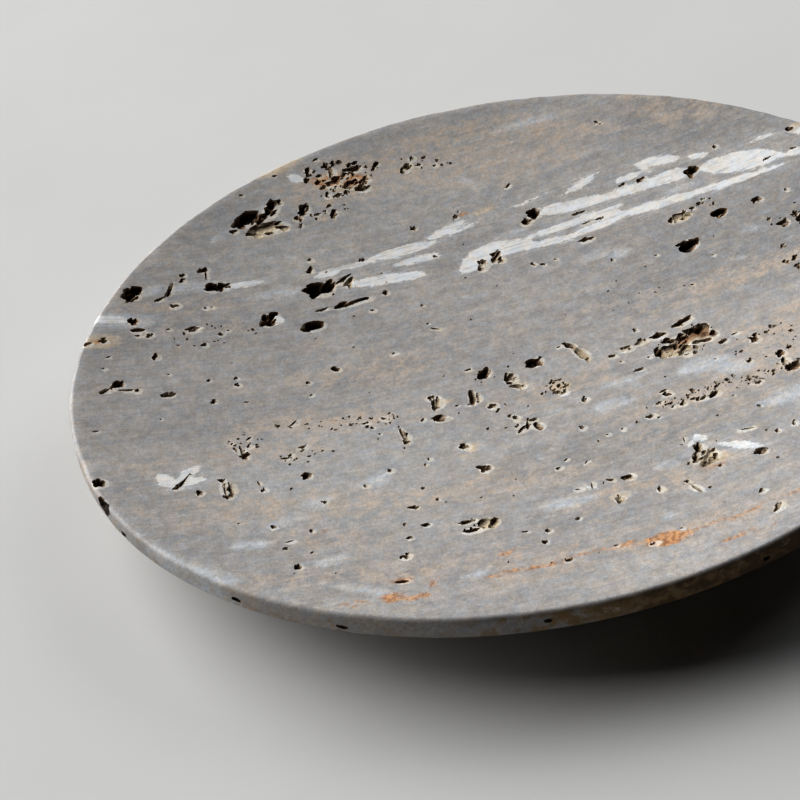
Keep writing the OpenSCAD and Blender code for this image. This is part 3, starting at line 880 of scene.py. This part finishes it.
def soft_bumper():
    """Frosted polyurethane, a little dusty."""
    s = Shader("soft_bumper")
    place = s.add("ShaderNodeTexCoord").outputs["Object"]
    cloud = s.noise(s.stretch(place, (2.5 * MM, 2.5 * MM, 1.2 * MM)), 4, 0.6)
    dust = s.noise(s.stretch(place, (0.3 * MM, 0.3 * MM, 0.3 * MM)), 3, 0.7)
    colour = s.mix(s.ramp(cloud, 0.35, 0.65), (0.400, 0.415, 0.415), (0.500, 0.510, 0.500))
    colour = s.mix(s.ramp(dust, 0.6, 0.72, 0.0, 0.5), colour, (0.620, 0.600, 0.560))
    normal = s.bump(dust, 0.03, 0.4)
    return s.finish(
        Base_Color=colour, Roughness=s.ramp(cloud, 0.3, 0.7, 0.28, 0.42), Normal=normal,
        Subsurface_Weight=0.25, Subsurface_Scale=0.001,
    )


def tacky_adhesive():
    """Yellowish acrylic adhesive with trapped air."""
    s = Shader("tacky_adhesive")
    place = s.add("ShaderNodeTexCoord").outputs["Object"]
    air = s.cells(s.stretch(place, (0.7 * MM, 0.7 * MM, 0.7 * MM)))
    colour = s.mix(s.ramp(air, 0.1, 0.4), (0.660, 0.640, 0.560), (0.520, 0.470, 0.330))
    rough = s.ramp(air, 0.1, 0.5, 0.2, 0.45)
    return s.finish(Base_Color=colour, Roughness=rough, Normal=s.bump(air, 0.04, 0.5))


def pale_floor():
    """Plain pale plaster."""
    s = Shader("pale_floor")
    place = s.add("ShaderNodeTexCoord").outputs["Object"]
    cloud = s.noise(s.stretch(place, (60 * MM, 60 * MM, 60 * MM)), 4, 0.5)
    colour = s.mix(s.ramp(cloud, 0.3, 0.7), (0.652, 0.653, 0.648), (0.668, 0.669, 0.664))
    return s.finish(Base_Color=colour, Roughness=0.8, Specular_IOR_Level=0.1)


# -------- building

def new_object(name, points, triangles, materials):
    """An object made from points in millimetres."""
    mesh = bpy.data.meshes.new(name)
    mesh.from_pydata((np.asarray(points) * MM).tolist(), [], triangles)
    for material in materials:
        mesh.materials.append(material)
    return bpy.data.objects.new(name, mesh)


def refine(mesh, wanted):
    """Splits the triangles at the wanted points into four, so that marks there are finely resolved."""
    bm = bmesh.new()
    bm.from_mesh(mesh)
    bm.verts.ensure_lookup_table()
    chosen = [e for e in bm.edges if wanted[e.verts[0].index] or wanted[e.verts[1].index]]
    bmesh.ops.subdivide_edges(bm, edges=chosen, cuts=1)
    bmesh.ops.triangulate(bm, faces=bm.faces[:])
    bm.to_mesh(mesh)
    bm.free()


def keep_largest(bm):
    """Deletes every part of the mesh that isn't joined to its largest part."""
    left, parts = set(bm.verts), []
    while left:
        part, front = set(), [next(iter(left))]
        while front:
            vert = front.pop()
            if vert in part:
                continue
            part.add(vert)
            front += [e.other_vert(vert) for e in vert.link_edges]
        left -= part
        parts.append(part)
    parts.sort(key=len)
    bmesh.ops.delete(bm, geom=[v for part in parts[:-1] for v in part], context="VERTS")


def cut(stone, lumps, inside):
    """The stone's mesh with every lump taken out of it. The cut faces have the inside material."""
    cutters = bpy.data.collections.new("cutters")
    for points, triangles in lumps:
        cutters.objects.link(new_object("cutter", points, triangles, [inside]))
    modifier = stone.modifiers.new("voids", "BOOLEAN")
    modifier.operation = "DIFFERENCE"
    modifier.operand_type = "COLLECTION"
    modifier.collection = cutters
    modifier.solver = "MANIFOLD"
    modifier.material_mode = "TRANSFER"
    mesh = bpy.data.meshes.new_from_object(stone.evaluated_get(bpy.context.evaluated_depsgraph_get()))
    stone.modifiers.clear()
    stone.data = mesh
    for cutter in list(cutters.objects):
        bpy.data.meshes.remove(cutter.data)
    bpy.data.collections.remove(cutters)
    bm = bmesh.new()
    bm.from_mesh(mesh)
    keep_largest(bm)
    bmesh.ops.triangulate(bm, faces=[f for f in bm.faces if len(f.verts) > 3])
    bm.to_mesh(mesh)
    bm.free()


def halos_and_highlights(rng):
    """Ovals a little larger than the voids, for their pale halos, and shifted away from the window so that
    they also paint a highlight on each void's lit side.
    """
    rows = []
    for x, y, length, width, turn in BOWL_VOIDS + SHALLOW_VOIDS:
        wider = rng.uniform(0.2, 1.2)
        place = (x + HALO_HIGHLIGHT_SHIFT[0], y + HALO_HIGHLIGHT_SHIFT[1])
        rows.append((*place, length + wider, width * stretch_of(width) + wider, turn))
    return rows


def make_stone():
    """The dish's stone, in place of its CAD node."""
    rng = np.random.default_rng(SEED)
    points, triangles = skin(rng)
    stone = new_object("travertine_dish", points, triangles, [honed_travertine()])
    bpy.context.scene.collection.objects.link(stone)

    halo_and_highlight_rows = halos_and_highlights(rng)
    near_mark = np.maximum(vein_marks(points, VEINS), oval_marks(points, halo_and_highlight_rows)) > -FINE_REACH
    refine(stone.data, near_mark & (points[:, 2] > RIM_Z - BOWL_DEPTH - 1))

    lumps = []
    for row in BOWL_VOIDS + pore_fields(rng):
        lumps += bowl_void(*row, rng)
    for row in SHALLOW_VOIDS:
        lumps += bowl_void(*row, rng, deep=rng.uniform(0.3, 0.6))
    for row in EDGE_VOIDS:
        lumps += edge_void(*row, rng)
    lumps += under_voids(rng)
    cut(stone, lumps, broken_travertine())
    mark(stone.data, halo_and_highlight_rows)
    stone.data.shade_smooth()
    stone.data.set_sharp_from_angle(angle=math.radians(SHARP_ANGLE))

    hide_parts("stone_dish")
    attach(stone, "root")


def dress(names, material):
    """Gives CAD nodes a material."""
    for name in names:
        node = frame["nodes"][name]
        node.data.materials.clear()
        node.data.materials.append(material)


def make_floor():
    bpy.ops.mesh.primitive_plane_add(size=FLOOR_SIZE)
    floor = bpy.context.object
    floor.name = "floor"
    floor.data.materials.append(pale_floor())


def make_camera():
    """The camera, turned about its own axis so that the horizon tilts as it should."""
    data = bpy.data.cameras.new("camera")
    data.lens = CAMERA_LENS
    data.sensor_width = CAMERA_SENSOR
    camera = bpy.data.objects.new("camera", data)
    rise, roll = math.radians(CAMERA_ELEVATION), math.radians(CAMERA_ROLL)
    back = Vector((0, -math.cos(rise), math.sin(rise)))
    aim = Vector((*CAMERA_AIM, RIM_Z))
    turn = Matrix.Rotation(math.pi / 2 - rise, 4, "X") @ Matrix.Rotation(roll, 4, "Z")
    camera.matrix_world = Matrix.Translation((aim + CAMERA_DISTANCE * back) * MM) @ turn
    bpy.context.scene.collection.objects.link(camera)
    bpy.context.scene.camera = camera


def make_light(name, direction, elevation, distance, width, height, watts, colour):
    """A soft box that faces the dish. Its direction from the dish and its elevation are in degrees."""
    data = bpy.data.lights.new(name, "AREA")
    data.shape = "RECTANGLE"
    data.size = width
    data.size_y = height
    data.energy = watts
    data.color = colour
    light = bpy.data.objects.new(name, data)
    a, e = math.radians(direction), math.radians(elevation)
    place = Vector((math.cos(a) * math.cos(e), math.sin(a) * math.cos(e), math.sin(e)))
    light.location = place * distance
    light.rotation_mode = "QUATERNION"
    light.rotation_quaternion = place.to_track_quat("Z", "Y")
    bpy.context.scene.collection.objects.link(light)


def make_lights():
    make_light(
        "window", direction=140, elevation=28, distance=8.0, width=9.6, height=6.0,
        watts=1600, colour=(1.0, 0.995, 0.99),
    )
    make_light(
        "far_window", direction=45, elevation=30, distance=8.0, width=6.0, height=4.0,
        watts=170, colour=(0.97, 0.985, 1.0),
    )
    world = bpy.data.worlds.new("studio")
    world.use_nodes = True
    world.node_tree.nodes["Background"].inputs["Color"].default_value = (0.9, 0.93, 1.0, 1)
    world.node_tree.nodes["Background"].inputs["Strength"].default_value = 0.006
    bpy.context.scene.world = world
    bpy.context.scene.view_settings.view_transform = "Standard"
    bpy.context.scene.view_settings.gamma = 0.77


make_camera()
make_stone()
corners = ["front_right", "back_right", "back_left", "front_left"]
dress([f"bumper_{corner}" for corner in corners], soft_bumper())
dress([f"adhesive_{corner}" for corner in corners], tacky_adhesive())
make_floor()
make_lights()
